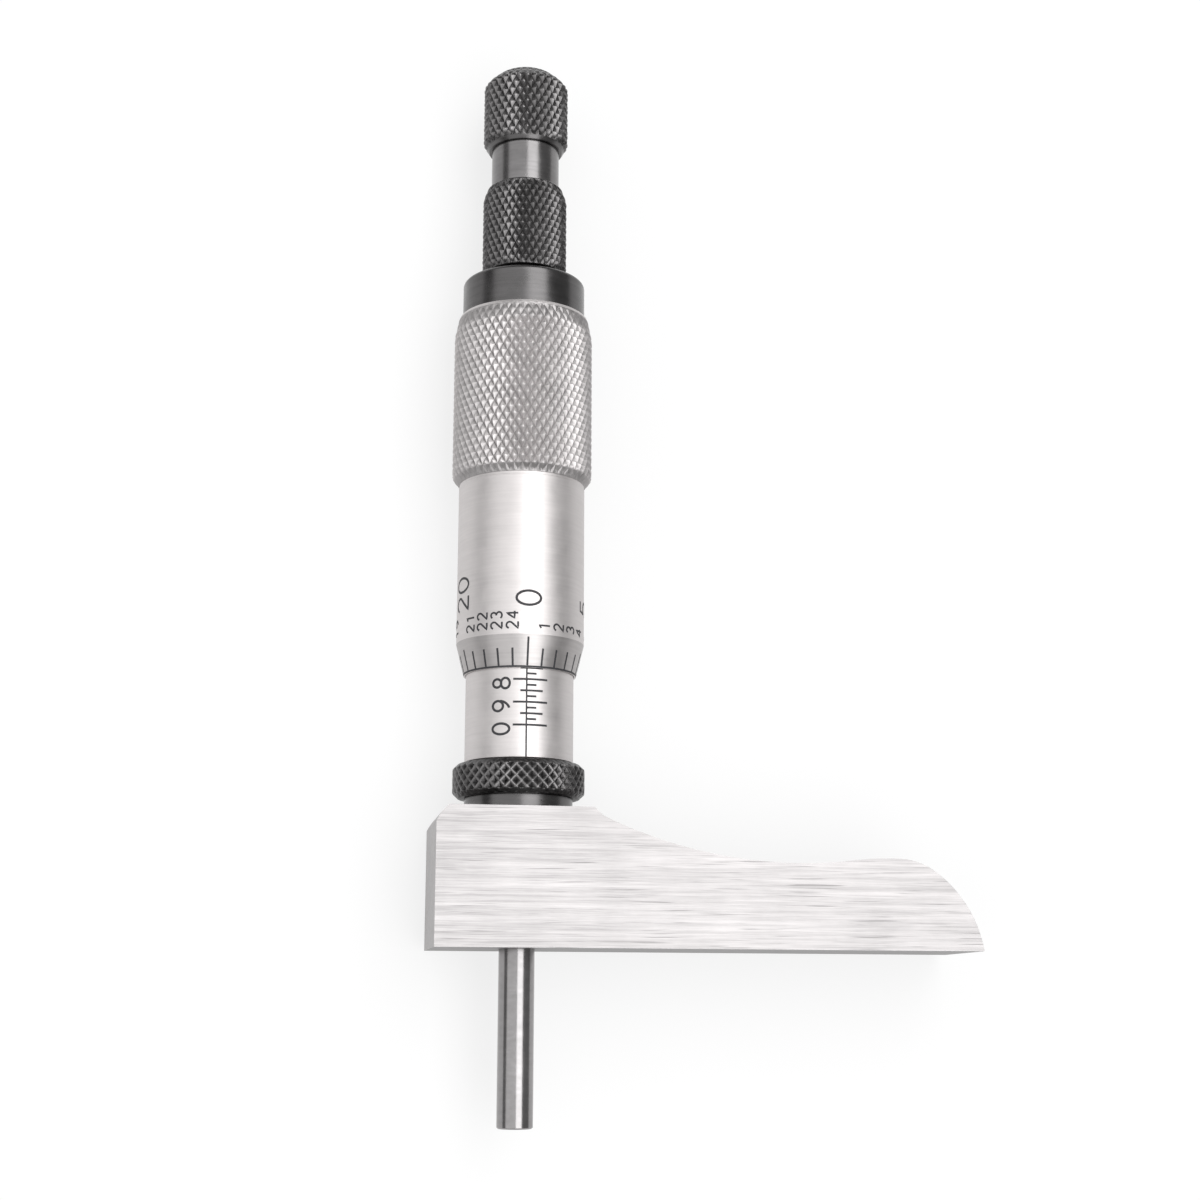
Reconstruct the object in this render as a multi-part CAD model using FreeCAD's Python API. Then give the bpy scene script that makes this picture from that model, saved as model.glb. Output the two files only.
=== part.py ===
import FreeCAD, Part
import math
import os

# Depth micrometer with a half base, a hollow spindle, an interchangeable rod, a lock nut and a ratchet.
# Millimetres. X runs along the base, Y is the screw's axis towards the ratchet, Z points out of the front.
# The origin is where the axis crosses the base's reference face. It lies on its back.

# Measuring screw
SPAN = 25.4                      # full reading, one inch
READING = 0.75 * SPAN            # reading at rest: how far the rod stands out of the base
TRAVEL_DOWN = SPAN - READING     # what is left to screw down

# Clearances
TIGHT = 0.01                     # radial gap of pieces pressed or screwed together
RUNNING = 0.06                   # radial gap of pieces that turn or slide in each other
FACE_GAP = 0.05                  # gap between end faces that turn on each other

# Base: a block under the barrel, and a wing with a hollow back, a crest and a round nose
BASE_THICKNESS = 12.7
BASE_HEIGHT = 15.2
BASE_LEFT = 9.65                 # left end, from the axis
LEFT_CORNER_RUN = 1.4
LEFT_CORNER_DROP = 1.8
LEFT_CORNER_BULGE = 0.13
TOP_RIGHT = 7.6                  # right end of the flat top, from the axis
SHOULDER_RUN = 0.99
SHOULDER_DROP = 0.94
WING_SLOPE = -24.9               # degrees, where the hollow starts
HOLLOW_RADIUS = 51.9
HOLLOW_TURN = 32.2
CREST_RADIUS = 33.1
CREST_TURN = 9.2
BROW_RADIUS = 7.2
BROW_TURN = 32.2
NOSE_RADIUS = 13.07
GUIDE_LENGTH = 3.0               # rod's guide hole, above the reference face

# Rod
ROD_RADIUS = 1.985
ROD_CHAMFER = 0.15
ROD_END = 0.2                    # how far the rod stands out of its upper nut
ADJUSTER_HEIGHT = 2.1
ADJUSTER_FLATS = 5.7
JAM_NUT_HEIGHT = 1.5

# Barrel, pressed into the base
SPIGOT_RADIUS = 5.0
FLANGE_RADIUS = 6.07
FLANGE_HEIGHT = 1.3
BARREL_RADIUS = 5.5
ROD_PASSAGE_RADIUS = 2.4
BARREL_SLIT_WIDTH = 0.6
BARREL_SLIT_COUNT = 3
LOCK_TAPER = 0.2                 # how much the barrel narrows under the lock nut
LOCK_SLIT_LENGTH = 7.0
LOCK_SLIT_INSET = 0.5            # slits start this far above the flange
NUT_TAPER_LOW_RADIUS = 5.25      # tapered, slit thread nut at the barrel's upper end
NUT_TAPER_HIGH_RADIUS = 4.85
NUT_BORE_LENGTH = 12.5
NUT_NECK = 2.0                   # from the sleeve's upper end to the taper

# Lock bush and lock nut
BUSH_LENGTH = 7.85
BUSH_HIGH_MARGIN = 0.6           # how far the bush reaches above the lock nut
BUSH_SLIT_WIDTH = 0.5
LOCK_NUT_RADIUS = 7.41
LOCK_NUT_HEIGHT = 3.75
LOCK_NUT_EDGE = 6.85             # radius of its two turned edges
LOCK_NUT_CHAMFER = 0.55

# Graduated sleeve
SLEEVE_RADIUS = 6.11
SLEEVE_WALL = 0.6
SLEEVE_GAP = 0.1                 # above the lock nut
BARE_SLEEVE = 3.67               # below the line of the full reading
SLEEVE_OVERLAP = 2.5             # inside the thimble at zero
SLEEVE_CHAMFER = 0.15
SPANNER_HOLE_RADIUS = 0.65
SPANNER_HOLE_HEIGHT = 3.4        # above the sleeve's lower end, at the back

# Adjusting nut on the barrel's taper
ADJUSTING_NUT_WALL = 0.55
ADJUSTING_NUT_HEIGHT = 4.2
ADJUSTING_NUT_INSET = 1.2        # below the barrel's upper end
SPANNER_SLOT_WIDTH = 1.0
SPANNER_SLOT_DEPTH = 0.8

# Spindle, a hollow screw that carries the thimble, the ratchet and the cap
SPINDLE_RADIUS = 3.175
SPINDLE_CHAMFER = 0.3
SPINDLE_END_GAP = 0.25           # above the lock bush when screwed right down
COLLAR_RADIUS = 4.4
COLLAR_HEIGHT = 1.7
SEAT_RADIUS = 3.6
STEM_RADIUS = 2.8
BARREL_END_GAP = 0.45            # below the collar when screwed right down

# Thimble
THIMBLE_RADIUS = 7.26
THIMBLE_LIP = 0.18               # wall at the bevelled reading edge
THIMBLE_BEVEL = 3.6
THIMBLE_PLAIN = 18.7             # between bevel and knurl
THIMBLE_GRIP_RADIUS = 8.09
THIMBLE_GRIP_LENGTH = 20.3
THIMBLE_GRIP_STEP = 0.08         # knurl's lower edge above the plain part
THIMBLE_GRIP_RISE = 1.0
THIMBLE_GRIP_FALL = 2.4
THIMBLE_RIM_RADIUS = 7.65
THIMBLE_RIM_HEIGHT = 1.0
THIMBLE_WEB = 2.0

# Thimble cap
CAP_RING_RADIUS = 7.15
CAP_RING_HEIGHT = 5.5
CAP_RING_ROUND = 1.1

# Ratchet: crown wheel on the stem, toothed driver pressed on it by a spring, knurled sleeve
RATCHET_GAP = 1.1                # between thimble cap and ratchet sleeve
RATCHET_RADIUS = 5.0
RATCHET_HEIGHT = 10.9
RATCHET_EDGE_LOW = 4.6
RATCHET_EDGE_HIGH = 4.45
RATCHET_CHAMFER_LOW = 0.8
RATCHET_CHAMFER_HIGH = 1.4
RATCHET_BORE_RADIUS = 4.1
RATCHET_LIP = 0.9
HUB_RADIUS = 3.4
WHEEL_RADIUS = 3.9
WHEEL_THICKNESS = 1.6
TOOTH_COUNT = 20
TOOTH_HEIGHT = 0.35
TOOTH_CLEARANCE = 0.1            # teeth stand this far apart, at the top of a click
DRIVER_THICKNESS = 1.3
DRIVER_TAB_WIDTH = 1.2
DRIVER_TAB_HEIGHT = 0.3
SPRING_WIRE = 0.45
SPRING_TURNS = 3.5
SPRING_SIDES = 18                # straight pieces a turn
SPRING_WASHER_THICKNESS = 0.4

# Neck bush, screwed on the stem
NECK_RADIUS = 4.02
NECK_HEIGHT = 5.0                # in sight between ratchet and cap
NECK_INSET = 2.1                 # inside the ratchet sleeve
CAP_THREAD_RADIUS = 3.6
CAP_THREAD_LENGTH = 3.0

# Rod cap, and the washer that presses the rod's nuts down
WASHER_THICKNESS = 0.4
WASHER_HOLE_RADIUS = 2.2
ROD_CAP_RADIUS = 5.07
ROD_CAP_HEIGHT = 11.05
ROD_CAP_EDGE_LOW = 4.35
ROD_CAP_EDGE_HIGH = 4.75
ROD_CAP_CHAMFER_LOW = 0.9
ROD_CAP_CHAMFER_HIGH = 0.5
ROD_CAP_DOME = 2.6

# Diamond knurls: width round the piece, height along it, and depth of one diamond
THIMBLE_KNURL = {"width": 1.27, "height": 1.70, "depth": 0.32}
LOCK_KNURL = {"width": 1.30, "height": 1.25, "depth": 0.34}
KNOB_KNURL = {"width": 1.22, "height": 1.50, "depth": 0.28}

# Places along the axis, from the reference face up
LOCK_LOW = BASE_HEIGHT + FLANGE_HEIGHT + FACE_GAP
LOCK_HIGH = LOCK_LOW + LOCK_NUT_HEIGHT
SLEEVE_LOW = LOCK_HIGH + SLEEVE_GAP
FULL_READING_EDGE = SLEEVE_LOW + BARE_SLEEVE
SLEEVE_HIGH = FULL_READING_EDGE + SPAN + SLEEVE_OVERLAP
THIMBLE_LOW = FULL_READING_EDGE + TRAVEL_DOWN
THIMBLE_GRIP_LOW = THIMBLE_LOW + THIMBLE_BEVEL + THIMBLE_PLAIN
THIMBLE_HIGH = THIMBLE_GRIP_LOW + THIMBLE_GRIP_LENGTH
CAP_RING_LOW = THIMBLE_HIGH - THIMBLE_RIM_HEIGHT
CAP_RING_HIGH = CAP_RING_LOW + CAP_RING_HEIGHT
WEB_LOW = CAP_RING_LOW - THIMBLE_WEB
COLLAR_LOW = WEB_LOW - COLLAR_HEIGHT
BARREL_HIGH = COLLAR_LOW - TRAVEL_DOWN - BARREL_END_GAP
BUSH_HIGH = LOCK_HIGH + BUSH_HIGH_MARGIN
BUSH_LOW = BUSH_HIGH - BUSH_LENGTH
SPINDLE_LOW = BUSH_HIGH + SPINDLE_END_GAP + TRAVEL_DOWN
RATCHET_LOW = CAP_RING_HIGH + RATCHET_GAP
RATCHET_HIGH = RATCHET_LOW + RATCHET_HEIGHT
WHEEL_LOW = RATCHET_LOW + RATCHET_LIP + FACE_GAP
WHEEL_HIGH = WHEEL_LOW + WHEEL_THICKNESS
TEETH_MEET = WHEEL_HIGH + TOOTH_HEIGHT
DRIVER_LOW = TEETH_MEET + TOOTH_CLEARANCE + TOOTH_HEIGHT
DRIVER_HIGH = DRIVER_LOW + DRIVER_THICKNESS
NECK_LOW = RATCHET_HIGH - NECK_INSET
SPRING_HIGH = NECK_LOW - FACE_GAP - SPRING_WASHER_THICKNESS
NECK_HIGH = RATCHET_HIGH + NECK_HEIGHT
STEM_HIGH = NECK_HIGH + CAP_THREAD_LENGTH
ADJUSTER_HIGH = STEM_HIGH + ADJUSTER_HEIGHT
JAM_NUT_HIGH = ADJUSTER_HIGH + JAM_NUT_HEIGHT
ROD_HIGH = JAM_NUT_HIGH + ROD_END
WASHER_LOW = ROD_HIGH + FACE_GAP
WASHER_HIGH = WASHER_LOW + WASHER_THICKNESS
ROD_CAP_LOW = NECK_HIGH + FACE_GAP
ROD_CAP_HIGH = ROD_CAP_LOW + ROD_CAP_HEIGHT

# Radii that follow from a fit
GUIDE_RADIUS = ROD_RADIUS + RUNNING
SPINDLE_BORE = ROD_RADIUS + RUNNING
BARREL_BORE = SPINDLE_RADIUS + RUNNING
THREAD_BORE = SPINDLE_RADIUS + RUNNING / 2
THIMBLE_BORE = SLEEVE_RADIUS + RUNNING
STEM_BORE = STEM_RADIUS + TIGHT
DRIVER_RADIUS = RATCHET_BORE_RADIUS - RUNNING
DRIVER_BORE = STEM_RADIUS + 2 * RUNNING
CAP_BORE = CAP_THREAD_RADIUS + RUNNING
LOCK_TAPER_LOW = BARREL_RADIUS + LOCK_TAPER + RUNNING

BEYOND = 1.0                     # how far a cutting tool reaches past what it cuts
ORIGIN = FreeCAD.Vector(0, 0, 0)
AXIS = FreeCAD.Vector(0, 1, 0)
FRONT = FreeCAD.Vector(0, 0, 1)


def point(radius, height):
    """A point of a turned profile: its distance from the axis and its place along it."""
    return FreeCAD.Vector(radius, height, 0)


def around(radius, height, angle):
    """A point at an angle in radians round the axis, counted from the front."""
    return FreeCAD.Vector(radius * math.sin(angle), height, radius * math.cos(angle))


def turned(profile):
    """Solid of revolution of a closed outline, given as (radius, height) pairs."""
    corners = [point(radius, height) for radius, height in profile]
    outline = Part.makePolygon(corners + corners[:1])
    return Part.Face(outline).revolve(ORIGIN, AXIS, 360)


def tube(outer, inner, low, high):
    """Plain ring between two radii and two heights."""
    return turned([(inner, low), (outer, low), (outer, high), (inner, high)])


def rod(radius, low, high):
    """Plain cylinder on the axis."""
    return Part.makeCylinder(radius, high - low, point(0, low), AXIS)


def spread(tool, count, first=0.0):
    """Copies of a cutting tool, evenly turned round the axis, as one compound."""
    copies = []
    for number in range(count):
        copy = tool.copy()
        copy.rotate(ORIGIN, AXIS, first + 360 * number / count)
        copies.append(copy)
    return Part.makeCompound(copies)


def slit(width, reach, low, high):
    """Box that cuts one wall, from the axis outwards towards the front."""
    corner = FreeCAD.Vector(-width / 2, low, 0)
    return Part.makeBox(width, high - low, reach, corner)


def solid_of(faces):
    """Solid bounded by these faces, which meet edge to edge."""
    skin = Part.makeCompound(faces)
    skin.sewShape()
    body = Part.makeSolid(skin.Shells[0])
    if body.Volume < 0:
        body.reverse()
    return body


def facet(corners):
    """Flat face through these corners."""
    return Part.Face(Part.makePolygon(corners + corners[:1]))


def radius_on(outline, height):
    """Radius of an outline of (radius, height) pairs at one height."""
    for (low_radius, low), (high_radius, high) in zip(outline, outline[1:]):
        if height <= high:
            return low_radius + (high_radius - low_radius) * (height - low) / (high - low)
    return outline[-1][0]


def knurl_grid(outline, knurl):
    """Rows of points of a diamond knurl: ridges where row plus column is even, and grooves between.

    The turned outline cuts the diamonds off at both ends, so the first and last rows are plain rings.
    """
    low, high = outline[0][1], outline[-1][1]
    crest = max(radius for radius, _ in outline)
    columns = 2 * round(2 * math.pi * crest / knurl["width"])
    rows = 2 * round((high - low) / knurl["height"])
    grid = []
    for row in range(rows + 1):
        height = low + (high - low) * row / rows
        blank = radius_on(outline, height)
        groove = blank if row in (0, rows) else min(blank, crest - knurl["depth"])
        ring = []
        for column in range(columns):
            radius = groove if (row + column) % 2 else blank
            ring.append(around(radius, height, 2 * math.pi * column / columns))
        grid.append(ring)
    return grid


def knurl_facets(grid):
    """Triangles over a knurl's grid, each with one ridge point and two groove points."""
    faces = []
    for row, (lower, upper) in enumerate(zip(grid, grid[1:])):
        for column in range(len(lower)):
            following = (column + 1) % len(lower)
            a, b = lower[column], lower[following]
            c, d = upper[following], upper[column]
            if (row + column) % 2:
                faces += [facet([a, b, c]), facet([a, c, d])]
            else:
                faces += [facet([a, b, d]), facet([b, c, d])]
    return faces


def end_face(ring, radius):
    """Flat ring between a knurl's end row and a turned edge."""
    edge = Part.Vertex(point(radius, ring[0].y)).revolve(ORIGIN, AXIS, 360)
    wires = [Part.makePolygon(ring + ring[:1]), Part.Wire(edge)]
    return Part.makeFace(wires, "Part::FaceMakerBullseye")


def knurled(outline, knurl, rest):
    """Turned piece with a knurled band. rest holds the other edges of its profile, from the band's upper end
    to its lower end."""
    grid = knurl_grid(outline, knurl)
    ends = [end_face(grid[0], rest[-1].lastVertex().X), end_face(grid[-1], rest[0].firstVertex().X)]
    return solid_of(knurl_facets(grid) + ends + [edge.revolve(ORIGIN, AXIS, 360) for edge in rest])


def lines(profile):
    """Straight edges through (radius, height) pairs."""
    corners = [point(radius, height) for radius, height in profile]
    return [Part.makeLine(a, b) for a, b in zip(corners, corners[1:])]


def bend(start, heading, radius, turn):
    """Arc that leaves start along heading and turns by turn degrees, left if positive."""
    side = math.copysign(1, turn)

    def at(direction):
        angle = math.radians(direction)
        return centre + FreeCAD.Vector(math.sin(angle), -math.cos(angle), 0) * side * radius

    angle = math.radians(heading)
    centre = start + FreeCAD.Vector(-math.sin(angle), math.cos(angle), 0) * side * radius
    end = at(heading + turn)
    return Part.Arc(start, at(heading + turn / 2), end).toShape(), end, heading + turn


def base_outline():
    """Base seen from the front: flat reference face, block, hollow back, crest and nose."""
    corner_low = point(-BASE_LEFT, BASE_HEIGHT - LEFT_CORNER_DROP)
    corner_high = point(-BASE_LEFT + LEFT_CORNER_RUN, BASE_HEIGHT)
    across = corner_high - corner_low
    outwards = FreeCAD.Vector(-across.y, across.x, 0).normalize()
    corner_middle = (corner_low + corner_high) / 2 + outwards * LEFT_CORNER_BULGE
    top_right = point(TOP_RIGHT, BASE_HEIGHT)
    place = point(TOP_RIGHT + SHOULDER_RUN, BASE_HEIGHT - SHOULDER_DROP)
    edges = [
        Part.makeLine(point(-BASE_LEFT, 0), corner_low),
        Part.Arc(corner_low, corner_middle, corner_high).toShape(),
        Part.makeLine(corner_high, top_right),
        Part.makeLine(top_right, place),
    ]
    heading = WING_SLOPE
    bends = ((HOLLOW_RADIUS, HOLLOW_TURN), (CREST_RADIUS, -CREST_TURN), (BROW_RADIUS, -BROW_TURN))
    for radius, turn in bends:
        edge, place, heading = bend(place, heading, radius, turn)
        edges.append(edge)
    centre_height = place.y - NOSE_RADIUS * math.cos(math.radians(heading))
    down = -math.degrees(math.acos(-centre_height / NOSE_RADIUS))
    edge, place, heading = bend(place, heading, NOSE_RADIUS, down - heading)
    return Part.Wire(edges + [edge, Part.makeLine(place, point(-BASE_LEFT, 0))])


def half_base():
    """Base with the rod's guide hole and the barrel's bore."""
    block = Part.Face(base_outline()).extrude(FRONT * BASE_THICKNESS)
    block.translate(FRONT * (-BASE_THICKNESS / 2))
    guide = rod(GUIDE_RADIUS, -BEYOND, GUIDE_LENGTH + BEYOND)
    bore = rod(SPIGOT_RADIUS, GUIDE_LENGTH, BASE_HEIGHT + BEYOND)
    return block.cut(guide.fuse(bore))


def barrel():
    """Inner barrel: spigot, flange, slit taper for the lock nut, and slit thread nut at the top."""
    spigot = SPIGOT_RADIUS - TIGHT
    flange_high = BASE_HEIGHT + FLANGE_HEIGHT
    taper_low = SLEEVE_HIGH + NUT_NECK
    body = turned([
        (ROD_PASSAGE_RADIUS, GUIDE_LENGTH),
        (spigot, GUIDE_LENGTH),
        (spigot, BASE_HEIGHT),
        (FLANGE_RADIUS, BASE_HEIGHT),
        (FLANGE_RADIUS, flange_high),
        (BARREL_RADIUS + LOCK_TAPER, flange_high),
        (BARREL_RADIUS, LOCK_HIGH),
        (BARREL_RADIUS, taper_low - NUT_NECK / 2),
        (NUT_TAPER_LOW_RADIUS, taper_low),
        (NUT_TAPER_HIGH_RADIUS, BARREL_HIGH),
        (THREAD_BORE, BARREL_HIGH),
        (THREAD_BORE, BARREL_HIGH - NUT_BORE_LENGTH),
        (BARREL_BORE, BARREL_HIGH - NUT_BORE_LENGTH),
        (BARREL_BORE, BUSH_LOW),
        (ROD_PASSAGE_RADIUS, BUSH_LOW),
    ])
    slit_low = flange_high + LOCK_SLIT_INSET
    lock_slit = slit(BARREL_SLIT_WIDTH, BARREL_RADIUS + BEYOND, slit_low, slit_low + LOCK_SLIT_LENGTH)
    nut_slit = slit(BARREL_SLIT_WIDTH, BARREL_RADIUS + BEYOND, taper_low, BARREL_HIGH + BEYOND)
    slits = [spread(tool, BARREL_SLIT_COUNT) for tool in (lock_slit, nut_slit)]
    return body.cut(Part.makeCompound(slits))


def graduated_sleeve():
    """Thin sleeve over the barrel, with a spanner hole at the back for setting zero."""
    inner = SLEEVE_RADIUS - SLEEVE_WALL
    body = turned([
        (inner, SLEEVE_LOW),
        (SLEEVE_RADIUS - SLEEVE_CHAMFER, SLEEVE_LOW),
        (SLEEVE_RADIUS, SLEEVE_LOW + SLEEVE_CHAMFER),
        (SLEEVE_RADIUS, SLEEVE_HIGH),
        (inner, SLEEVE_HIGH),
    ])
    start = point(0, SLEEVE_LOW + SPANNER_HOLE_HEIGHT)
    hole = Part.makeCylinder(SPANNER_HOLE_RADIUS, SLEEVE_RADIUS + BEYOND, start, -FRONT)
    return body.cut(hole)


def taper_radius(height):
    """Radius of the barrel's thread nut at one height."""
    ends = [(NUT_TAPER_LOW_RADIUS, SLEEVE_HIGH + NUT_NECK), (NUT_TAPER_HIGH_RADIUS, BARREL_HIGH)]
    return radius_on(ends, height)


def adjusting_nut():
    """Ring on the barrel's taper that closes the slit thread nut on the screw."""
    high = BARREL_HIGH - ADJUSTING_NUT_INSET
    low = high - ADJUSTING_NUT_HEIGHT
    outer = taper_radius(low) + ADJUSTING_NUT_WALL
    body = turned([
        (taper_radius(low) + TIGHT, low),
        (outer, low),
        (outer, high),
        (taper_radius(high) + TIGHT, high),
    ])
    slot = slit(SPANNER_SLOT_WIDTH, outer + BEYOND, high - SPANNER_SLOT_DEPTH, high + BEYOND)
    return body.cut(spread(slot, 2))


def lock_bush():
    """Split bush in the barrel, which the lock nut closes on the rod."""
    body = tube(BARREL_BORE - TIGHT, GUIDE_RADIUS, BUSH_LOW, BUSH_HIGH)
    return body.cut(slit(BUSH_SLIT_WIDTH, BARREL_BORE + BEYOND, BUSH_LOW - BEYOND, BUSH_HIGH + BEYOND))


def lock_nut():
    """Knurled ring with a tapered bore on the barrel's taper."""
    outline = [
        (LOCK_NUT_EDGE, LOCK_LOW),
        (LOCK_NUT_RADIUS, LOCK_LOW + LOCK_NUT_CHAMFER),
        (LOCK_NUT_RADIUS, LOCK_HIGH - LOCK_NUT_CHAMFER),
        (LOCK_NUT_EDGE, LOCK_HIGH),
    ]
    shoulder = LOCK_NUT_EDGE - LOCK_NUT_CHAMFER
    rest = lines([
        (shoulder, LOCK_HIGH),
        (BARREL_RADIUS + RUNNING, LOCK_HIGH),
        (LOCK_TAPER_LOW, LOCK_LOW),
        (shoulder, LOCK_LOW),
    ])
    return knurled(outline, LOCK_KNURL, rest)


def measuring_rod():
    """Hardened rod through the hollow spindle, with a flat measuring end."""
    return turned([
        (0, -READING),
        (ROD_RADIUS - ROD_CHAMFER, -READING),
        (ROD_RADIUS, -READING + ROD_CHAMFER),
        (ROD_RADIUS, ROD_HIGH - ROD_CHAMFER),
        (ROD_RADIUS - ROD_CHAMFER, ROD_HIGH),
        (0, ROD_HIGH),
    ])


def hexagon_nut(low, high):
    """Nut on the rod's upper end."""
    corner = ADJUSTER_FLATS / math.sqrt(3)
    corners = [around(corner, low, math.radians(60 * side)) for side in range(6)]
    blank = facet(corners).extrude(AXIS * (high - low))
    return blank.cut(rod(ROD_RADIUS + TIGHT, low - BEYOND, high + BEYOND))


def spindle():
    """Hollow screw: threaded part, collar, seat of the thimble, and stem of the ratchet and cap."""
    return turned([
        (SPINDLE_BORE, SPINDLE_LOW),
        (SPINDLE_RADIUS - SPINDLE_CHAMFER, SPINDLE_LOW),
        (SPINDLE_RADIUS, SPINDLE_LOW + SPINDLE_CHAMFER),
        (SPINDLE_RADIUS, COLLAR_LOW),
        (COLLAR_RADIUS, COLLAR_LOW),
        (COLLAR_RADIUS, WEB_LOW),
        (SEAT_RADIUS, WEB_LOW),
        (SEAT_RADIUS, CAP_RING_LOW),
        (SPINDLE_RADIUS, CAP_RING_LOW),
        (SPINDLE_RADIUS, CAP_RING_HIGH),
        (STEM_RADIUS, CAP_RING_HIGH),
        (STEM_RADIUS, STEM_HIGH),
        (SPINDLE_BORE, STEM_HIGH),
    ])


def thimble():
    """Thimble: bevelled reading edge, plain part for the divisions, knurled grip, web and rim."""
    outline = [
        (THIMBLE_RADIUS + THIMBLE_GRIP_STEP, THIMBLE_GRIP_LOW),
        (THIMBLE_GRIP_RADIUS, THIMBLE_GRIP_LOW + THIMBLE_GRIP_RISE),
        (THIMBLE_GRIP_RADIUS, THIMBLE_HIGH - THIMBLE_GRIP_FALL),
        (THIMBLE_RIM_RADIUS, THIMBLE_HIGH),
    ]
    rim = CAP_RING_RADIUS + RUNNING
    rest = lines([
        (rim + RUNNING, THIMBLE_HIGH),
        (rim, CAP_RING_LOW),
        (SEAT_RADIUS + TIGHT, CAP_RING_LOW),
        (SEAT_RADIUS + TIGHT, WEB_LOW),
        (THIMBLE_BORE, WEB_LOW),
        (THIMBLE_BORE, THIMBLE_LOW),
        (THIMBLE_BORE + THIMBLE_LIP, THIMBLE_LOW),
        (THIMBLE_RADIUS, THIMBLE_LOW + THIMBLE_BEVEL),
        (THIMBLE_RADIUS, THIMBLE_GRIP_LOW),
    ])
    return knurled(outline, THIMBLE_KNURL, rest)


def thimble_cap():
    """Smooth ring screwed on the spindle, which clamps the thimble's web on the collar."""
    body = tube(CAP_RING_RADIUS, SPINDLE_RADIUS + TIGHT, CAP_RING_LOW, CAP_RING_HIGH)
    outer_edges = [
        edge for edge in body.Edges
        if edge.BoundBox.YMin > CAP_RING_HIGH - TIGHT and edge.BoundBox.XMax > SEAT_RADIUS
    ]
    return body.makeFillet(CAP_RING_ROUND, outer_edges)


def saw_gaps(root, tip, side):
    """Cuts between crown teeth, deepest on one side. The teeth come to a point at the stem."""
    width = 2 * math.pi * STEM_RADIUS / TOOTH_COUNT
    over = tip + math.copysign(BEYOND, tip - root)
    deep = side * width / 2
    gap = facet([point(deep, root), point(-deep, tip), point(-deep, over), point(deep, over)])
    return spread(gap.extrude(FRONT * RATCHET_RADIUS), TOOTH_COUNT)


def ratchet_wheel():
    """Crown wheel on the stem, whose hub carries it clear of the thimble cap."""
    body = turned([
        (STEM_BORE, CAP_RING_HIGH),
        (HUB_RADIUS, CAP_RING_HIGH),
        (HUB_RADIUS, WHEEL_LOW),
        (WHEEL_RADIUS, WHEEL_LOW),
        (WHEEL_RADIUS, TEETH_MEET),
        (STEM_BORE, TEETH_MEET),
    ])
    return body.cut(saw_gaps(WHEEL_HIGH, TEETH_MEET, 1))


def driver_tabs(radius, width, low, high):
    """Two bars across the driver, which key it to the ratchet sleeve."""
    corner = FreeCAD.Vector(-width / 2, low, -radius)
    return Part.makeBox(width, high - low, 2 * radius, corner)


def ratchet_driver():
    """Ring with crown teeth below and two tabs in the sleeve's keyways."""
    tips = DRIVER_LOW - TOOTH_HEIGHT
    ring = tube(DRIVER_RADIUS, DRIVER_BORE, tips, DRIVER_HIGH).cut(saw_gaps(DRIVER_LOW, tips, -1))
    tab_radius = DRIVER_RADIUS + DRIVER_TAB_HEIGHT
    bars = driver_tabs(tab_radius, DRIVER_TAB_WIDTH, DRIVER_LOW, DRIVER_HIGH)
    tabs = bars.common(tube(tab_radius, DRIVER_RADIUS - DRIVER_TAB_HEIGHT, DRIVER_LOW, DRIVER_HIGH))
    return ring.fuse(tabs).removeSplitter()


def ratchet_spring():
    """Compression spring of square wire round the stem, from the driver to the spring washer."""
    middle = (DRIVER_RADIUS + DRIVER_BORE) / 2
    half = SPRING_WIRE / 2
    low, high = DRIVER_HIGH + half, SPRING_HIGH - half
    steps = round(SPRING_TURNS * SPRING_SIDES)
    sections = []
    for step in range(steps + 1):
        angle = 2 * math.pi * step / SPRING_SIDES
        height = low + (high - low) * step / steps
        corners = ((-half, -half), (half, -half), (half, half), (-half, half))
        sections.append([around(middle + out, height + up, angle) for out, up in corners])
    faces = [facet(sections[0]), facet(sections[-1])]
    for before, after in zip(sections, sections[1:]):
        for corner in range(4):
            following = (corner + 1) % 4
            faces.append(facet([before[corner], before[following], after[following]]))
            faces.append(facet([before[corner], after[following], after[corner]]))
    return solid_of(faces)


def spring_washer():
    """Washer between the spring and the neck bush."""
    return tube(DRIVER_RADIUS, DRIVER_BORE, SPRING_HIGH, SPRING_HIGH + SPRING_WASHER_THICKNESS)


def ratchet_sleeve():
    """Knurled sleeve that the fingers turn, held by the lip under the crown wheel."""
    outline = [
        (RATCHET_EDGE_LOW, RATCHET_LOW),
        (RATCHET_RADIUS, RATCHET_LOW + RATCHET_CHAMFER_LOW),
        (RATCHET_RADIUS, RATCHET_HIGH - RATCHET_CHAMFER_HIGH),
        (RATCHET_EDGE_HIGH, RATCHET_HIGH),
    ]
    lip_radius = HUB_RADIUS + RUNNING
    lip_high = RATCHET_LOW + RATCHET_LIP
    rest = lines([
        (RATCHET_EDGE_HIGH - RUNNING, RATCHET_HIGH),
        (RATCHET_BORE_RADIUS, RATCHET_HIGH),
        (RATCHET_BORE_RADIUS, lip_high),
        (lip_radius, lip_high),
        (lip_radius, RATCHET_LOW),
        (RATCHET_EDGE_LOW - RUNNING, RATCHET_LOW),
    ])
    keyway_radius = DRIVER_RADIUS + DRIVER_TAB_HEIGHT + RUNNING
    keyways = driver_tabs(keyway_radius, DRIVER_TAB_WIDTH + RUNNING, TEETH_MEET, NECK_LOW)
    return knurled(outline, KNOB_KNURL, rest).cut(keyways)


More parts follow.
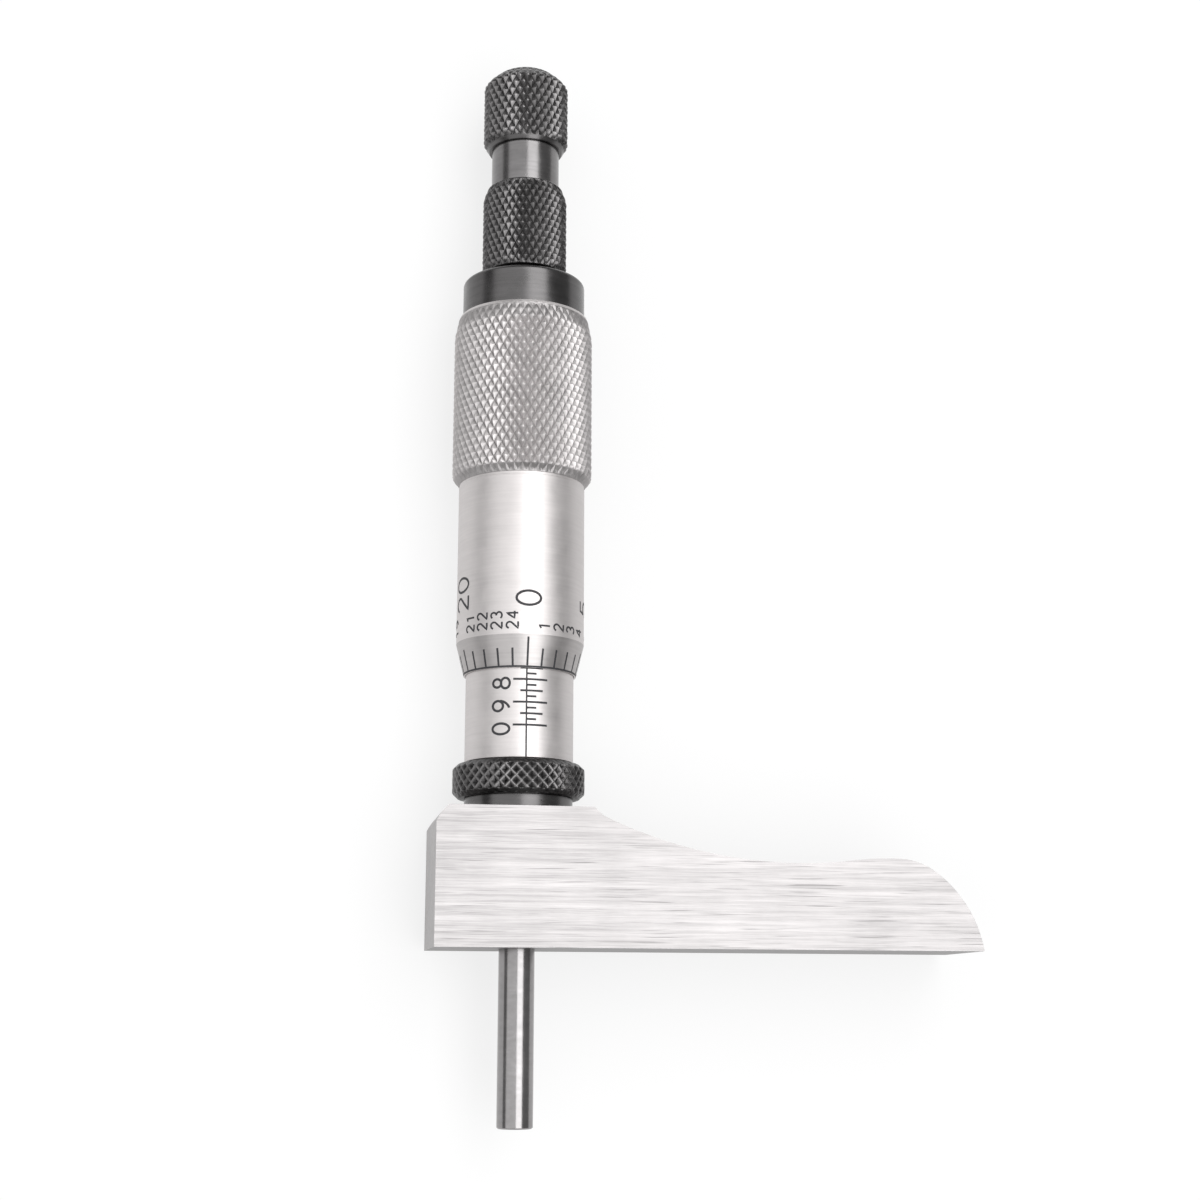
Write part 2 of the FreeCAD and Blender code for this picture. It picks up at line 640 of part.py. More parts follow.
def neck_bush():
    """Bush screwed on the stem, which closes the ratchet and carries the cap's thread."""
    return turned([
        (STEM_BORE, NECK_LOW),
        (NECK_RADIUS, NECK_LOW),
        (NECK_RADIUS, NECK_HIGH),
        (CAP_THREAD_RADIUS, NECK_HIGH),
        (CAP_THREAD_RADIUS, STEM_HIGH),
        (STEM_BORE, STEM_HIGH),
    ])


def cap_washer():
    """Washer in the cap, which presses on the rod's nuts."""
    return tube(CAP_BORE - 2 * RUNNING, WASHER_HOLE_RADIUS, WASHER_LOW, WASHER_HIGH)


def rod_cap():
    """Knurled cap with a domed top, screwed on the neck bush over the rod's nuts."""
    dome_low = ROD_CAP_HIGH - ROD_CAP_DOME
    outline = [
        (ROD_CAP_EDGE_LOW, ROD_CAP_LOW),
        (ROD_CAP_RADIUS, ROD_CAP_LOW + ROD_CAP_CHAMFER_LOW),
        (ROD_CAP_RADIUS, dome_low - ROD_CAP_CHAMFER_HIGH),
        (ROD_CAP_EDGE_HIGH, dome_low),
    ]
    dome_edge = ROD_CAP_EDGE_HIGH - RUNNING
    dome_radius = (dome_edge ** 2 + ROD_CAP_DOME ** 2) / (2 * ROD_CAP_DOME)
    half_angle = math.asin(dome_edge / dome_radius) / 2
    centre_height = ROD_CAP_HIGH - dome_radius
    halfway = point(dome_radius * math.sin(half_angle), centre_height + dome_radius * math.cos(half_angle))
    dome = Part.Arc(point(dome_edge, dome_low), halfway, point(0, ROD_CAP_HIGH)).toShape()
    cavity = lines([
        (0, WASHER_HIGH + FACE_GAP),
        (CAP_BORE, WASHER_HIGH + FACE_GAP),
        (CAP_BORE, ROD_CAP_LOW),
        (ROD_CAP_EDGE_LOW - RUNNING, ROD_CAP_LOW),
    ])
    return knurled(outline, KNOB_KNURL, [dome] + cavity)


PIECES = {
    "half_base": half_base(),
    "barrel": barrel(),
    "graduated_sleeve": graduated_sleeve(),
    "adjusting_nut": adjusting_nut(),
    "lock_bush": lock_bush(),
    "lock_nut": lock_nut(),
    "measuring_rod": measuring_rod(),
    "rod_adjusting_nut": hexagon_nut(STEM_HIGH, ADJUSTER_HIGH),
    "rod_jam_nut": hexagon_nut(ADJUSTER_HIGH, JAM_NUT_HIGH),
    "spindle": spindle(),
    "thimble": thimble(),
    "thimble_cap": thimble_cap(),
    "ratchet_wheel": ratchet_wheel(),
    "ratchet_driver": ratchet_driver(),
    "ratchet_spring": ratchet_spring(),
    "spring_washer": spring_washer(),
    "ratchet_sleeve": ratchet_sleeve(),
    "neck_bush": neck_bush(),
    "cap_washer": cap_washer(),
    "rod_cap": rod_cap(),
}

os.makedirs("parts", exist_ok=True)
for name, piece in PIECES.items():
    piece.exportStep(f"parts/{name}.step")
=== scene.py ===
import bpy
import math
from mathutils import Matrix, Vector


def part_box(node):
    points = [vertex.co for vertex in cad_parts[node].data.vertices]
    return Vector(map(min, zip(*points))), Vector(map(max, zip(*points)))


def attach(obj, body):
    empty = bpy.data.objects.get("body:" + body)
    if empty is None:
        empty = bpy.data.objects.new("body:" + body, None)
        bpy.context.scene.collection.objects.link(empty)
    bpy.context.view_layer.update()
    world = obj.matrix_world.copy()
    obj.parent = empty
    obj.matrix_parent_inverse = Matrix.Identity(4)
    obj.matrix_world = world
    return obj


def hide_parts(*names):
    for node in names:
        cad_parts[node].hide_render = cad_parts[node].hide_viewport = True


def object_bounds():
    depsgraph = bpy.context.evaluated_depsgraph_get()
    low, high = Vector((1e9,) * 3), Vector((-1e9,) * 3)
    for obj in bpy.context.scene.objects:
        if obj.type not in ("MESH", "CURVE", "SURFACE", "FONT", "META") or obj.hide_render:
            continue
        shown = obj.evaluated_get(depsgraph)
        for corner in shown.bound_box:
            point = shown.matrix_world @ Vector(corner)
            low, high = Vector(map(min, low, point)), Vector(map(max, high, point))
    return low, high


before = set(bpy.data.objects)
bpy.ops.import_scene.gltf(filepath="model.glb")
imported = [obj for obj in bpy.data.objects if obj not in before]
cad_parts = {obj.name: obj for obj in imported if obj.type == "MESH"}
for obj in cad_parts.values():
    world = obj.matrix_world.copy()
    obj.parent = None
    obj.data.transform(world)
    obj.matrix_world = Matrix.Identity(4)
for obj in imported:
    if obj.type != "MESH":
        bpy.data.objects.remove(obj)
LOW_START, HIGH_START = [list(corner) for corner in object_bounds()]

MM = 0.001
PROUD = 0.015 * MM               # how far an inlaid mark stands out
SUNK = 0.02 * MM                 # how far it reaches in
STROKE = 0.23 * MM               # width of a mark
STRIP_STEP = 0.35 * MM           # longest straight piece of a mark
MARKS_AROUND = 1.2               # cells of a turned mark in a radian round the axis
SHARP = math.radians(28)         # edges sharper than this aren't smoothed
FLOOR_GLOW = 0.75                # share of plain white in what the camera sees of the floor


def add_object(name, data):
    """Puts a mesh, lamp or camera in the scene."""
    thing = bpy.data.objects.new(name, data)
    bpy.context.scene.collection.objects.link(thing)
    return thing


def span(node):
    """Lowest and highest place of a node along the screw's axis, and its outer radius."""
    low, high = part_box(node)
    return low[1], high[1], high[0]


# ---------------------------------------------------------------- materials


class Nodes:
    """Builds one material's nodes."""

    def __init__(self, name):
        self.material = bpy.data.materials.new(name)
        self.material.use_nodes = True
        self.tree = self.material.node_tree
        self.shader = self.tree.nodes["Principled BSDF"]
        self.object_coordinates = self.add("ShaderNodeTexCoord").outputs["Object"]

    def add(self, kind, **settings):
        node = self.tree.nodes.new(kind)
        for key, value in settings.items():
            setattr(node, key, value)
        return node

    def link(self, output, socket):
        self.tree.links.new(output, socket)

    def math(self, operation, a, b=None):
        node = self.add("ShaderNodeMath", operation=operation)
        for socket, value in zip(node.inputs, (a, b)):
            if isinstance(value, (int, float)):
                socket.default_value = value
            elif value is not None:
                self.link(value, socket)
        return node.outputs[0]

    def stretched(self, scale):
        """Object coordinates times a scale for each axis, in cells a metre."""
        node = self.add("ShaderNodeVectorMath", operation="MULTIPLY")
        self.link(self.object_coordinates, node.inputs[0])
        node.inputs[1].default_value = scale
        return node.outputs[0]

    def turned(self, around, along):
        """Coordinates wrapped round the screw's axis, for marks left by a lathe or a grinder."""
        parts = self.add("ShaderNodeSeparateXYZ")
        self.link(self.object_coordinates, parts.inputs[0])
        angle = self.math("ARCTAN2", parts.outputs["X"], parts.outputs["Z"])
        joined = self.add("ShaderNodeCombineXYZ")
        self.link(self.math("MULTIPLY", angle, around), joined.inputs["X"])
        self.link(self.math("MULTIPLY", parts.outputs["Y"], along), joined.inputs["Y"])
        return joined.outputs[0]

    def noise(self, vector, detail, roughness):
        node = self.add("ShaderNodeTexNoise")
        node.inputs["Scale"].default_value = 1.0
        node.inputs["Detail"].default_value = detail
        node.inputs["Roughness"].default_value = roughness
        self.link(vector, node.inputs["Vector"])
        return node.outputs["Fac"]

    def remap(self, value, low, high, new_low, new_high):
        node = self.add("ShaderNodeMapRange")
        self.link(value, node.inputs["Value"])
        sockets = ("From Min", "From Max", "To Min", "To Max")
        for socket, number in zip(sockets, (low, high, new_low, new_high)):
            node.inputs[socket].default_value = number
        return node.outputs["Result"]

    def colour(self, value, dark, light):
        node = self.add("ShaderNodeMix", data_type="RGBA")
        self.link(value, node.inputs["Factor"])
        node.inputs["A"].default_value = (*dark, 1)
        node.inputs["B"].default_value = (*light, 1)
        self.link(node.outputs["Result"], self.shader.inputs["Base Color"])

    def rough(self, value, low, high):
        self.link(self.remap(value, 0.3, 0.7, low, high), self.shader.inputs["Roughness"])

    def bump(self, value, distance, strength):
        node = self.add("ShaderNodeBump")
        node.inputs["Strength"].default_value = strength
        node.inputs["Distance"].default_value = distance
        self.link(value, node.inputs["Height"])
        self.link(node.outputs["Normal"], self.shader.inputs["Normal"])


def grey(level, warm=0.0):
    """Colour of a metal: a level, a little red, and warmer where asked."""
    return (level * (1.015 + warm), level * 0.985, level * (0.99 - warm))


def turned_metal(name, dark, light, rough, marks, depth, warm):
    """Metal with fine marks round the axis, faint blotches and uneven polish."""
    nodes = Nodes(name)
    nodes.shader.inputs["Metallic"].default_value = 1.0
    lines = nodes.noise(nodes.turned(MARKS_AROUND, marks), 4.0, 0.6)
    blotches = nodes.noise(nodes.stretched((260, 260, 260)), 4.0, 0.6)
    mixed = nodes.math("ADD", nodes.math("MULTIPLY", lines, 0.45), nodes.math("MULTIPLY", blotches, 0.55))
    nodes.colour(nodes.remap(mixed, 0.32, 0.68, 0, 1), grey(dark, warm), grey(light, warm))
    nodes.rough(blotches, rough[0], rough[1])
    nodes.bump(lines, depth * MM, 1.0)
    return nodes.material


def ground_steel():
    """Base: flat faces ground along the length, so the streaks run along X. The reference face is painted
    darker, as painted shade.
    """
    nodes = Nodes("ground_steel_finish")
    nodes.shader.inputs["Metallic"].default_value = 1.0
    streaks = nodes.noise(nodes.stretched((190, 7500, 7500)), 4.0, 0.65)
    long_streaks = nodes.noise(nodes.stretched((45, 2600, 2600)), 4.0, 0.6)
    cloud = nodes.noise(nodes.stretched((150, 210, 210)), 4.0, 0.6)
    scratches = nodes.noise(nodes.stretched((110, 5200, 5200)), 2.0, 0.5)
    mixed = nodes.math("ADD", nodes.math("MULTIPLY", streaks, 0.5), nodes.math("MULTIPLY", long_streaks, 0.35))
    mixed = nodes.math("ADD", mixed, nodes.math("MULTIPLY", cloud, 0.15))
    level = nodes.remap(mixed, 0.38, 0.62, 0.2, 1)
    level = nodes.math("SUBTRACT", level, nodes.remap(scratches, 0.6, 0.72, 0, 0.75))
    normal = nodes.add("ShaderNodeSeparateXYZ")
    nodes.link(nodes.add("ShaderNodeNewGeometry").outputs["Normal"], normal.inputs[0])
    # painted shade: colour darkened on the face whose normal points down the axis (-Y)
    reference_face_shade = nodes.remap(normal.outputs["Y"], -0.9, -1.0, 0, 0.8)
    nodes.colour(nodes.math("SUBTRACT", level, reference_face_shade), grey(0.22, 0.004), grey(0.47, 0.004))
    nodes.rough(streaks, 0.36, 0.50)
    nodes.bump(streaks, 0.003 * MM, 0.7)
    return nodes.material


def knurled_metal(name, dark, light, rough, warm, crest, radius, depth):
    """Knurl: colour by distance from the axis, lighter on the crests and darker down in the grooves, which is
    painted light and shade, with random spots on top. A higher crest keeps the bright part nearer the tips."""
    nodes = Nodes(name)
    nodes.shader.inputs["Metallic"].default_value = 1.0
    parts = nodes.add("ShaderNodeSeparateXYZ")
    nodes.link(nodes.object_coordinates, parts.inputs[0])
    squared = nodes.math(
        "ADD",
        nodes.math("POWER", parts.outputs["X"], 2.0),
        nodes.math("POWER", parts.outputs["Z"], 2.0),
    )
    # painted shade in the grooves and painted highlight on the crests: colour follows the distance from the
    # axis
    height = nodes.remap(nodes.math("SQRT", squared), radius - depth, radius, 0, 1)
    grain = nodes.noise(nodes.stretched((1500, 1500, 1500)), 4.0, 0.65)
    blotches = nodes.noise(nodes.stretched((380, 380, 380)), 3.0, 0.6)
    tips = nodes.math("MULTIPLY", nodes.math("POWER", height, crest), 0.7)
    spots = nodes.math("MULTIPLY", nodes.math("MULTIPLY", blotches, grain), 1.2)
    groove_shade_and_spots = nodes.math("ADD", tips, spots)
    nodes.colour(groove_shade_and_spots, grey(dark, warm), grey(light, warm))
    nodes.rough(grain, rough[0], rough[1])
    nodes.bump(grain, 0.02 * MM, 0.6)
    return nodes.material


def painted_marks():
    """Filled graduations: dark, dull, with a little unevenness."""
    nodes = Nodes("mark_fill")
    grain = nodes.noise(nodes.stretched((2200, 2200, 2200)), 3.0, 0.6)
    nodes.colour(grain, (0.012, 0.012, 0.014), (0.035, 0.035, 0.04))
    nodes.rough(grain, 0.5, 0.7)
    nodes.bump(grain, 0.004 * MM, 0.5)
    return nodes.material


def floor_finish():
    """Pale floor that shows as white, and keeps a soft shadow."""
    nodes = Nodes("floor_finish")
    grain = nodes.noise(nodes.stretched((6, 6, 6)), 2.0, 0.5)
    nodes.colour(grain, (0.76, 0.76, 0.76), (0.78, 0.78, 0.78))
    nodes.rough(grain, 0.85, 0.9)
    rays = nodes.add("ShaderNodeLightPath").outputs
    seen = nodes.math("MAXIMUM", rays["Is Camera Ray"], rays["Is Glossy Ray"])
    seen = nodes.math("MAXIMUM", seen, rays["Is Transmission Ray"])
    white = nodes.add("ShaderNodeEmission")
    white.inputs["Strength"].default_value = 1.0
    mix = nodes.add("ShaderNodeMixShader")
    nodes.link(nodes.math("MULTIPLY", seen, FLOOR_GLOW), mix.inputs[0])
    nodes.link(nodes.shader.outputs[0], mix.inputs[1])
    nodes.link(white.outputs[0], mix.inputs[2])
    nodes.link(mix.outputs[0], nodes.tree.nodes["Material Output"].inputs["Surface"])
    return nodes.material


# ---------------------------------------------------------------- turned and knurled meshes


def around(radius, height, angle):
    """Point at a radius and height, at an angle from the front."""
    return (radius * math.sin(angle), height, radius * math.cos(angle))


class Lathe:
    """A turned piece built ring by ring round the axis, closed at poles where the radius is zero."""

    def __init__(self, columns):
        self.columns = columns
        self.points, self.faces, self.slots = [], [], []
        self.last = None
        self.first = None

    def ring(self, radii, height):
        """A row of points. radii is one radius or one for each column."""
        if radii == 0:
            self.points.append((0, height, 0))
            return [len(self.points) - 1] * self.columns
        start = len(self.points)
        for column in range(self.columns):
            radius = radii[column] if isinstance(radii, list) else radii
            self.points.append(around(radius, height, 2 * math.pi * column / self.columns))
        return list(range(start, start + self.columns))

    def band(self, radii, height, slot=0, diagonal=None):
        """Joins a new row to the last one. diagonal(column) says which way each square is split."""
        row = self.ring(radii, height)
        if self.last is not None:
            for column in range(self.columns):
                following = (column + 1) % self.columns
                a, b = self.last[column], self.last[following]
                c, d = row[following], row[column]
                if a == b:
                    shapes = [(a, c, d)]
                elif c == d:
                    shapes = [(a, b, c)]
                elif diagonal is None:
                    shapes = [(a, b, c, d)]
                elif diagonal(column):
                    shapes = [(a, b, c), (a, c, d)]
                else:
                    shapes = [(a, b, d), (b, c, d)]
                self.faces += shapes
                self.slots += [slot] * len(shapes)
        if self.first is None:
            self.first = row
        self.last = row

    def close(self):
        """Joins the last row to the first."""
        for column in range(self.columns):
            following = (column + 1) % self.columns
            a, b = self.last[column], self.last[following]
            c, d = self.first[following], self.first[column]
            self.faces.append((a, b, c, d))
            self.slots.append(0)

    def build(self, name, materials):
        mesh = bpy.data.meshes.new(name)
        mesh.from_pydata(self.points, [], self.faces)
        for material in materials:
            mesh.materials.append(material)
        for face, slot in zip(mesh.polygons, self.slots):
            face.material_index = slot
        mesh.update()
        volume = sum(
            mesh.vertices[face.vertices[0]].co.dot(face.normal) * face.area for face in mesh.polygons
        )
        if volume < 0:
            mesh.flip_normals()
        mesh.shade_smooth()
        mesh.set_sharp_from_angle(angle=SHARP)
        return add_object(name, mesh)


def outline_radius(outline, height):
    """Radius of an outline of (radius, height) pairs at one height."""
    for (low_radius, low), (high_radius, high) in zip(outline, outline[1:]):
        if height <= high:
            return low_radius + (high_radius - low_radius) * (height - low) / (high - low)
    return outline[-1][0]


def knurl(lathe, outline, rows, fine, depth, slot, land=0.12, ends=0.0, net=False):
    """Diamond knurl on a turned outline. Rows of half diamonds go up, and each half diamond is divided by fine.
    land is the share of a diamond's height left flat on its crest, ends the share of the depth that is kept
    on the chamfers, and net a knurl whose crossing ridges stand up round sunk diamonds."""
    crest = max(radius for radius, _ in outline)
    low, high = outline[0][1], outline[-1][1]
    steps = rows * fine
    for step in range(steps + 1):
        height = low + (high - low) * step / steps
        blank = outline_radius(outline, height)
        radii = []
        for column in range(lathe.columns):
            u, v = column / (2 * fine), step / (2 * fine)
            p, q = u + v, u - v
            away = max(abs(p - round(p)), abs(q - round(q))) * 2
            rise = min(1.0, (away if net else 1 - away) / (1 - land))
            cut = depth * (1 - rise)
            kept = ends if 0 < step < steps else 0
            radii.append(min(blank - cut * kept, crest - cut))

        def diagonal(column, row=step - 1):
            return (column - row) % (2 * fine) == fine

        lathe.band(radii, height, slot, diagonal)


# ---------------------------------------------------------------- marks


def arc(cx, cy, rx, ry, start, end, steps=14):
    """Points on an ellipse between two angles in degrees."""
    points = []
    for step in range(steps + 1):
        angle = math.radians(start + (end - start) * step / steps)
        points.append((cx + rx * math.cos(angle), cy + ry * math.sin(angle)))
    return points


# Strokes of each figure in a box one unit wide and one unit high
FIGURES = {
    "0": [arc(0.5, 0.5, 0.46, 0.5, 0, 360, 28)],
    "1": [[(0.2, 0.8), (0.55, 1.0), (0.55, 0.0)]],
    "2": [arc(0.5, 0.72, 0.42, 0.28, 165, -35) + [(0.06, 0.0), (0.96, 0.0)]],
    "3": [arc(0.46, 0.75, 0.38, 0.25, 150, -90), arc(0.46, 0.26, 0.44, 0.26, 90, -150)],
    "4": [[(0.72, 0.0), (0.72, 1.0), (0.04, 0.3), (0.98, 0.3)]],
    "5": [[(0.86, 1.0), (0.22, 1.0), (0.14, 0.56)] + arc(0.48, 0.32, 0.44, 0.32, 140, -150)],
    "6": [arc(0.5, 0.31, 0.43, 0.31, 0, 360, 24), arc(0.86, 0.36, 0.8, 0.64, 172, 104)],
    "7": [[(0.06, 1.0), (0.94, 1.0), (0.34, 0.0)]],
    "8": [arc(0.5, 0.75, 0.36, 0.25, 0, 360, 24), arc(0.5, 0.26, 0.45, 0.26, 0, 360, 24)],
    "9": [arc(0.5, 0.69, 0.43, 0.31, 0, 360, 24), arc(0.14, 0.64, 0.8, 0.64, -8, -76)],
}


# How tall, how wide, gap to the next figure and width of the stroke
BIG_FIGURE = (2.75 * MM, 1.75 * MM, 0.45 * MM, 0.28 * MM)
SMALL_FIGURE = (1.3 * MM, 0.85 * MM, 0.32 * MM, 0.21 * MM)
SLEEVE_FIGURE = (1.95 * MM, 1.3 * MM, 0, 0.27 * MM)


class Marks:
    """Thin strips laid on a turned surface. radius_at gives the surface's radius at each height."""

    def __init__(self, radius_at):
        self.radius_at = radius_at
        self.points, self.faces = [], []

    def corner(self, across, height, out):
        """A point given by its distance round from the front and its height."""
        surface = self.radius_at(height)
        return around(surface + out, height, across / surface)

    def strip(self, path, width=STROKE):
        """One stroke along a path of (across, height) points, with mitred corners."""
        smooth = [path[0]]
        for start, end in zip(path, path[1:]):
            parts = max(1, math.ceil(math.dist(start, end) / STRIP_STEP))
            for part in range(1, parts + 1):
                share = part / parts
                across = start[0] + (end[0] - start[0]) * share
                height = start[1] + (end[1] - start[1]) * share
                smooth.append((across, height))
        rows = []
        last = len(smooth) - 1
        closed = math.dist(smooth[0], smooth[-1]) < 1e-9
        for index, (across, height) in enumerate(smooth):
            before = smooth[index - 1] if index else (smooth[-2] if closed else smooth[0])
            after = smooth[index + 1] if index < last else (smooth[1] if closed else smooth[-1])
            run = Vector((after[0] - before[0], after[1] - before[1])).normalized()
            side = Vector((-run.y, run.x)) * width / 2
            start = len(self.points)
            for sign, out in ((1, -SUNK), (1, PROUD), (-1, PROUD), (-1, -SUNK)):
                self.points.append(self.corner(across + side.x * sign, height + side.y * sign, out))
            rows.append(start)
        for a, b in zip(rows, rows[1:]):
            for edge in range(4):
                following = (edge + 1) % 4
                self.faces.append((a + edge, b + edge, b + following, a + following))
        if not closed:
            self.faces.append(tuple(rows[0] + edge for edge in range(4)))
            self.faces.append(tuple(rows[-1] + edge for edge in reversed(range(4))))

    def figure(self, text, across, height, tall, wide, gap, width):
        """A number read from the right-hand side: its figures stand on end and follow each other upwards
        from height. across gives its middle, tall is measured round the piece and wide along it."""
        for place, digit in enumerate(text):
            start = height + place * (wide + gap)
            for stroke in FIGURES[digit]:
                self.strip([(across + tall * (0.5 - y), start + wide * x) for x, y in stroke], width)

    def build(self, name, material):
        mesh = bpy.data.meshes.new(name)
        mesh.from_pydata(self.points, [], self.faces)
        mesh.materials.append(material)
        mesh.update()
        return add_object(name, mesh)


# ---------------------------------------------------------------- finishes

GROUND = ground_steel()
CHROME = turned_metal("satin_chrome_finish", 0.56, 0.66, (0.44, 0.54), 3200, 0.0005, 0.012)
# painted shade: a darker copy of the satin chrome, laid on the thimble's bevel
CHROME_BEVEL_SHADED = turned_metal("chrome_bevel_painted_shade", 0.36, 0.46, (0.36, 0.46), 3200, 0.0005, 0.012)
CHROME_KNURL = knurled_metal("chrome_knurl_finish", 0.26, 0.62, (0.42, 0.55), 0.008, 0.8, 8.09 * MM, 0.3 * MM)
BRIGHT = turned_metal("polished_rod_finish", 0.24, 0.33, (0.15, 0.23), 1500, 0.0004, 0.0)
DARK = turned_metal("dark_steel_finish", 0.085, 0.135, (0.20, 0.32), 2400, 0.0005, 0.0)
NECK = turned_metal("neck_steel_finish", 0.15, 0.22, (0.18, 0.28), 2400, 0.0005, 0.0)
DARK_KNURL = knurled_metal("dark_knurl_finish", 0.05, 0.205, (0.22, 0.36), 0.0, 1.2, 5.03 * MM, 0.28 * MM)
BLACK = turned_metal("black_steel_finish", 0.03, 0.05, (0.30, 0.42), 2000, 0.0005, 0.0)
BLACK_KNURL = knurled_metal("black_knurl_finish", 0.016, 0.17, (0.24, 0.38), 0.0, 2.5, 7.41 * MM, 0.34 * MM)
PLAIN = turned_metal("plain_steel_finish", 0.30, 0.40, (0.22, 0.34), 1800, 0.0006, 0.0)
BRONZE = turned_metal("bronze_finish", 0.28, 0.36, (0.28, 0.40), 1800, 0.0006, 0.25)
MARK = painted_marks()

NODE_FINISHES = {
    "half_base": GROUND,
    "barrel": DARK,
    "graduated_sleeve": CHROME,
    "adjusting_nut": PLAIN,
    "lock_bush": BRONZE,
    "measuring_rod": BRIGHT,
    "rod_adjusting_nut": PLAIN,
    "rod_jam_nut": PLAIN,
    "spindle": PLAIN,
    "thimble_cap": DARK,
    "ratchet_wheel": DARK,
    "ratchet_driver": PLAIN,
    "ratchet_spring": PLAIN,
    "spring_washer": PLAIN,
    "neck_bush": NECK,
    "cap_washer": PLAIN,
}
for node_name, finish in NODE_FINISHES.items():
    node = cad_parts[node_name]
    for material_slot in node.material_slots:
        material_slot.material = finish
    if not node.material_slots:
        node.data.materials.append(finish)


# ---------------------------------------------------------------- thimble

THIMBLE_LOW, THIMBLE_HIGH, GRIP = span("thimble")
SLEEVE_LOW, SLEEVE_HIGH, SLEEVE = span("graduated_sleeve")
CAP_LOW, CAP_HIGH, CAP_RADIUS = span("thimble_cap")
PLAIN_RADIUS = GRIP - 0.83 * MM
LIP = SLEEVE + 0.24 * MM
BORE = SLEEVE + 0.06 * MM
BEVEL_HIGH = THIMBLE_LOW + 3.6 * MM
GRIP_LOW = THIMBLE_HIGH - 20.3 * MM
WEB_LOW = CAP_LOW - 2.0 * MM
RIM_BORE = CAP_RADIUS + 0.06 * MM
SEAT = 3.61 * MM
RELIEF = PLAIN_RADIUS - 0.05 * MM
GRIP_ROUND, GRIP_FINE = 51, 4

grip = Lathe(GRIP_ROUND * 2 * GRIP_FINE)
grip.band(LIP, THIMBLE_LOW)
# slot 2 is the bevel, in the darker copy of the chrome that paints shade on it
grip.band(PLAIN_RADIUS, BEVEL_HIGH, 2)
grip.band(PLAIN_RADIUS, GRIP_LOW - 0.35 * MM)
grip.band(RELIEF, GRIP_LOW - 0.3 * MM)
grip.band(RELIEF, GRIP_LOW - 0.02 * MM)
knurl(grip, [
    (PLAIN_RADIUS + 0.02 * MM, GRIP_LOW),
    (GRIP, GRIP_LOW + 1.0 * MM),
    (GRIP, THIMBLE_HIGH - 2.4 * MM),
    (GRIP - 0.44 * MM, THIMBLE_HIGH - 0.35 * MM),
], 24, GRIP_FINE, 0.3 * MM, 1, 0.2, 0.5)
grip.band(GRIP - 0.5 * MM, THIMBLE_HIGH - 0.2 * MM)
grip.band(GRIP - 0.58 * MM, THIMBLE_HIGH)
grip.band(RIM_BORE + 0.06 * MM, THIMBLE_HIGH)
grip.band(RIM_BORE, CAP_LOW)
grip.band(SEAT, CAP_LOW)
grip.band(SEAT, WEB_LOW)
grip.band(BORE, WEB_LOW)
grip.band(BORE, THIMBLE_LOW)
grip.close()
thimble = grip.build("thimble_knurled", [CHROME, CHROME_KNURL, CHROME_BEVEL_SHADED])
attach(thimble, "thimble")
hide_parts("thimble")


def thimble_radius(height):
    """Outer radius of the thimble's bevel and plain part."""
    return outline_radius([(LIP, THIMBLE_LOW), (PLAIN_RADIUS, BEVEL_HIGH), (PLAIN_RADIUS, GRIP_LOW)], height)


DIVISIONS = 25
divisions = Marks(thimble_radius)
EDGE_LINE = THIMBLE_LOW + 0.11 * MM
EDGE_STEPS = 60
edge_step = thimble_radius(EDGE_LINE) * math.radians(360 / EDGE_STEPS)
divisions.strip([(edge_step * step, EDGE_LINE) for step in range(EDGE_STEPS + 1)], 0.2 * MM)
LINE_LOW = THIMBLE_LOW + 0.15 * MM
for number in range(DIVISIONS):
    angle = 2 * math.pi * number / DIVISIONS
    if angle > math.pi:
        angle -= 2 * math.pi
    reach = (3.3 if number == 0 else 2.5 if number % 5 == 0 else 2.1) * MM
    line_high = THIMBLE_LOW + reach
    low_across = thimble_radius(LINE_LOW) * angle
    high_across = thimble_radius(line_high) * angle
    divisions.strip([(low_across, LINE_LOW), (high_across, line_high)])
    across = PLAIN_RADIUS * angle
    if number % 5 == 0:
        divisions.figure(str(number), across, THIMBLE_LOW + 6.8 * MM, *BIG_FIGURE)
    else:
        divisions.figure(str(number), across, THIMBLE_LOW + 4.15 * MM, *SMALL_FIGURE)
piece = divisions.build("thimble_divisions", MARK)
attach(piece, "thimble")


# ---------------------------------------------------------------- sleeve

FULL = SLEEVE_LOW + 3.67 * MM    # the line of the longest depth
TENTH = 2.54 * MM                # 0.100 inch
scale = Marks(lambda height: SLEEVE)
scale.strip([(0, SLEEVE_LOW + 0.15 * MM), (0, SLEEVE_HIGH - 0.3 * MM)], 0.18 * MM)
for line in range(41):
    height = FULL + line * TENTH / 4
    if line % 4 == 0:
        left, right = -1.5 * MM, 2.4 * MM
    elif line % 2 == 0:
        left, right = -0.7 * MM, 1.85 * MM
    else:
        left, right = 0.0, 1.1 * MM
    scale.strip([(left, height), (right, height)])
for tenth in range(11):
    digit = str((10 - tenth) % 10)
    scale.figure(digit, -2.85 * MM, FULL + tenth * TENTH - 1.1 * MM, *SLEEVE_FIGURE)
piece = scale.build("sleeve_scale", MARK)
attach(piece, "base")


# ---------------------------------------------------------------- lock nut

LOCK_LOW, LOCK_HIGH, LOCK = span("lock_nut")
LOCK_LOW_BORE = 5.77 * MM
LOCK_HIGH_BORE = 5.57 * MM
LOCK_FACE = 6.3 * MM
LOCK_EDGE = 6.85 * MM
LOCK_ROUND, LOCK_FINE = 38, 5

